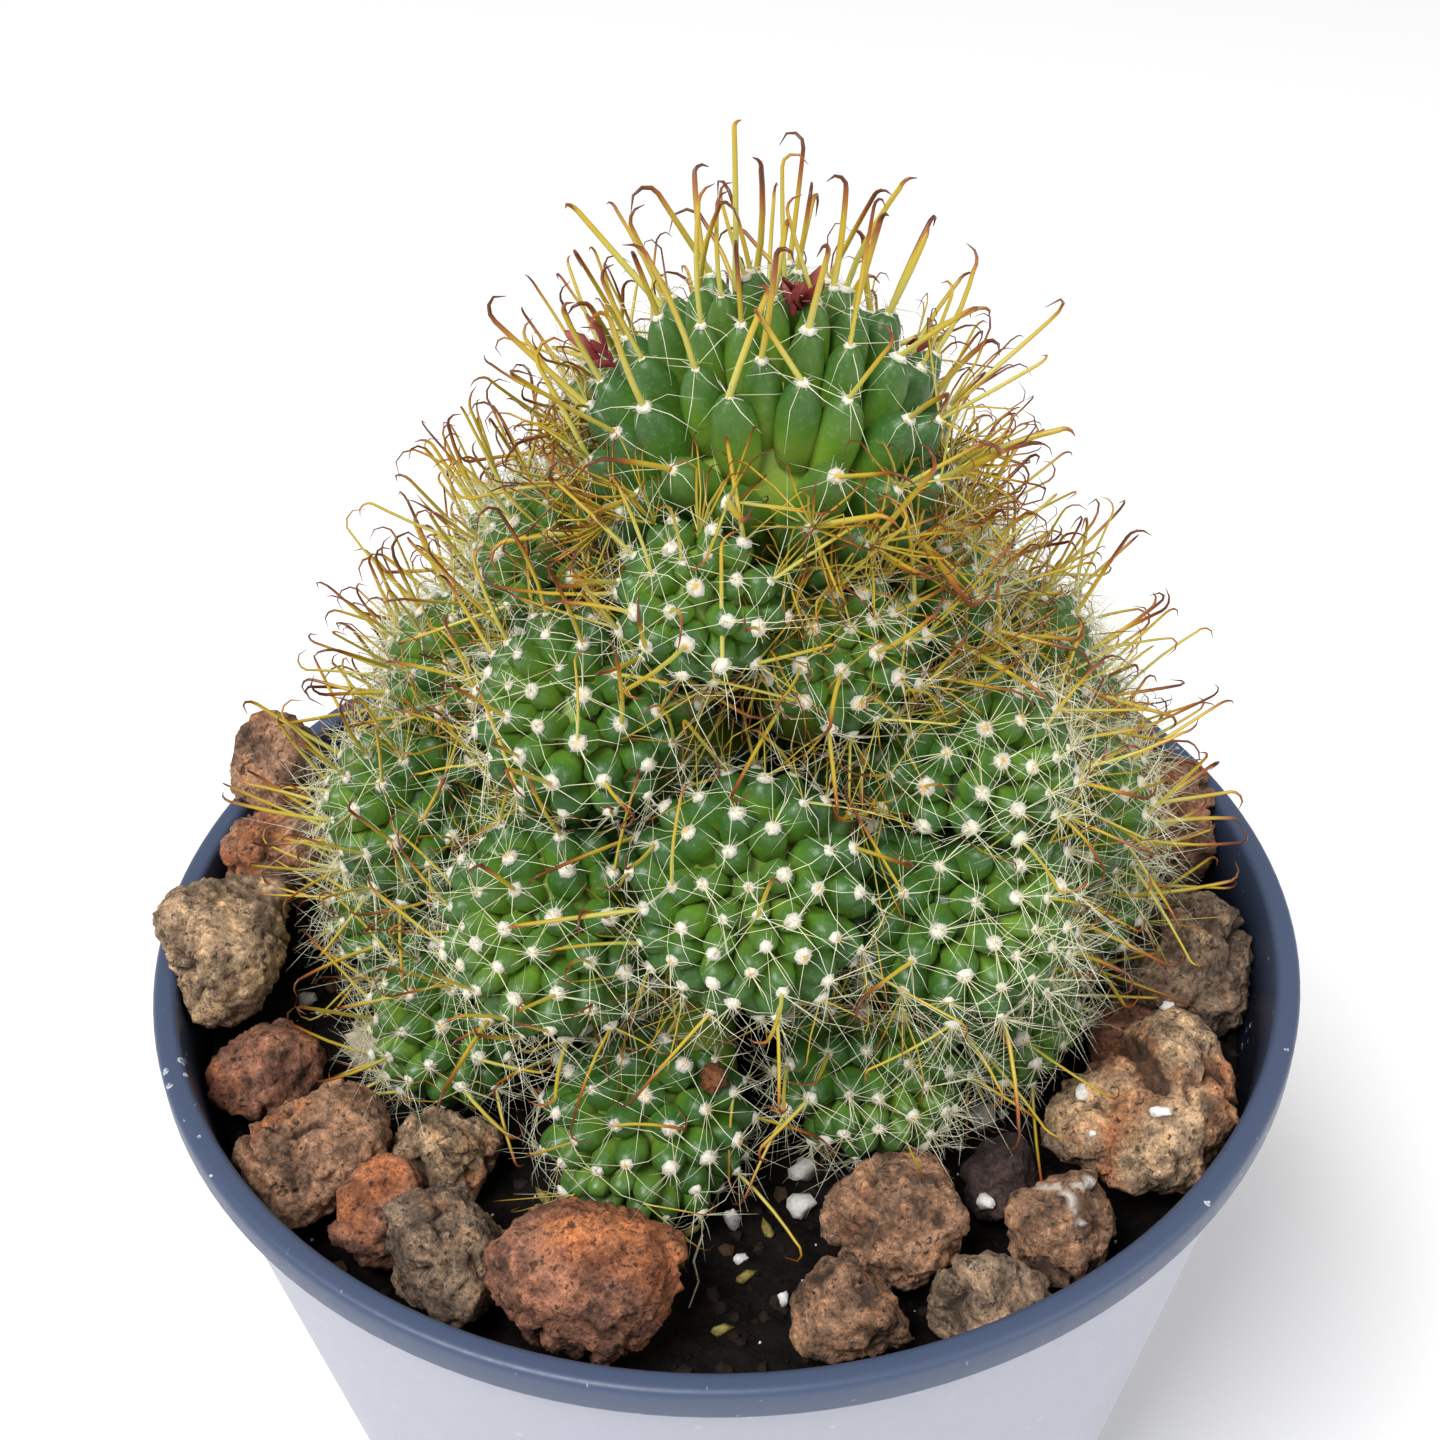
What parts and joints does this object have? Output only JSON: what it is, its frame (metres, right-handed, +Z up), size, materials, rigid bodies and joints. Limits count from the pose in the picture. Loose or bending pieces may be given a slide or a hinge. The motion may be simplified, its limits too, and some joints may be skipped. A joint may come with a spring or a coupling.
{
  "type": "potted cactus",
  "caption": "Clustered cactus with hooked yellow spines and white woolly areoles, in a small round plastic pot topped with lava rock.",
  "frame": {"origin": "centre of the pot's foot, on the surface that the pot stands on", "axes": "+Z up along the pot's axis; the view of the picture looks along +Y, with +X to its right"},
  "size_m": [0.105, 0.105, 0.1663],
  "materials": {
    "pot": "satin moulded plastic, slate blue",
    "soil": "moist dark potting mix",
    "flesh": "fleshy skin, waxy and slightly glossy",
    "lava_brown": "rough porous lava",
    "lava_tan": "rough porous lava",
    "lava_red": "rough porous lava",
    "lava_grey": "rough porous lava",
    "lava_dark": "rough porous lava",
    "spine": "stiff yellow to brown-red spines",
    "wool": "white wool and pale hair spines",
    "petal": "withered petals",
    "perlite": "chalky white grains"
  },
  "bodies": {
    "root": {"pot": "pot", "soil": "soil", "mother_head": "flesh", "offset_01": "flesh", "offset_02": "flesh", "offset_03": "flesh", "offset_04": "flesh", "offset_05": "flesh", "offset_06": "flesh", "offset_07": "flesh", "offset_08": "flesh", "offset_09": "flesh", "offset_10": "flesh", "offset_11": "flesh", "offset_12": "flesh", "offset_13": "flesh", "offset_14": "flesh", "offset_15": "flesh", "offset_16": "flesh", "offset_17": "flesh", "offset_18": "flesh", "offset_19": "flesh", "offset_20": "flesh", "offset_21": "flesh", "offset_22": "flesh", "offset_23": "flesh", "offset_24": "flesh", "offset_25": "flesh", "offset_26": "flesh", "offset_27": "flesh", "offset_28": "flesh", "offset_29": "flesh", "offset_30": "flesh", "offset_31": "flesh", "offset_32": "flesh", "offset_33": "flesh", "offset_34": "flesh", "offset_35": "flesh", "lava_rock_01": "lava_brown", "lava_rock_02": "lava_brown", "lava_rock_03": "lava_tan", "lava_rock_04": "lava_red", "lava_rock_05": "lava_brown", "lava_rock_06": "lava_tan", "lava_rock_07": "lava_red", "lava_rock_08": "lava_grey", "lava_rock_09": "lava_red", "lava_rock_10": "lava_brown", "lava_rock_11": "lava_brown", "lava_rock_12": "lava_dark", "lava_rock_13": "lava_brown", "lava_rock_14": "lava_grey", "lava_rock_15": "lava_tan", "lava_rock_16": "lava_grey", "lava_rock_17": "lava_red", "lava_rock_18": "lava_brown", "lava_rock_19": "lava_brown", "lava_rock_20": "lava_grey", "lava_rock_21": "lava_tan", "lava_rock_22": "lava_red"}
  },
  "joints": []
}
